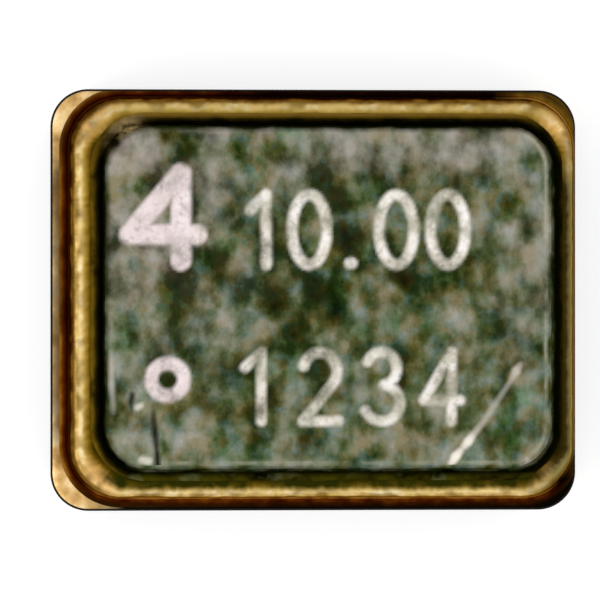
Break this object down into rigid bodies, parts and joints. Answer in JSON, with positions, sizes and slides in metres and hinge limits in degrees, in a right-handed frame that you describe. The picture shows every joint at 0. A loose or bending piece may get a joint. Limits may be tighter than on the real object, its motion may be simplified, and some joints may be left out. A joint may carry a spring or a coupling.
{
  "type": "crystal oscillator",
  "caption": "Surface-mount crystal oscillator: black ceramic box with corner terminals, gold seal ring and seam-welded metal lid over a quartz blank and its chip.",
  "frame": {"origin": "centre of the package's outline, on the plane of the terminals' undersides", "axes": "+X along the package's length, +Y across it towards terminals 3 and 4, +Z out of the lid"},
  "size_m": [0.0024, 0.002, 0.0008],
  "materials": {
    "black_ceramic": "matt, fired",
    "land_gold": "gold plated, dull",
    "braze": "gold plated over braze, darkened",
    "ring_gold": "gold plated, satin",
    "lid_nickel": "nickel plated, mottled, scratched",
    "terminal_gold": "gold plated, mottled",
    "tungsten": "fired paste",
    "inner_gold": "gold film",
    "silver_adhesive": "silver filled",
    "quartz": "lapped and polished",
    "silicon": "polished"
  },
  "bodies": {
    "root": {"ceramic_body": "black_ceramic", "seal_land": "land_gold", "braze_joint": "braze", "seal_ring": "ring_gold", "lid": "lid_nickel", "terminal_1": "terminal_gold", "terminal_2": "terminal_gold", "terminal_3": "terminal_gold", "terminal_4": "terminal_gold", "lid_ground_via": "tungsten", "crystal_vias": "tungsten", "floor_tracks": "inner_gold", "crystal_land_1": "inner_gold", "crystal_land_2": "inner_gold", "adhesive_dot_1": "silver_adhesive", "adhesive_dot_2": "silver_adhesive", "quartz_blank": "quartz", "upper_electrode": "inner_gold", "lower_electrode": "inner_gold", "oscillator_die": "silicon", "die_bumps": "inner_gold"}
  },
  "joints": []
}
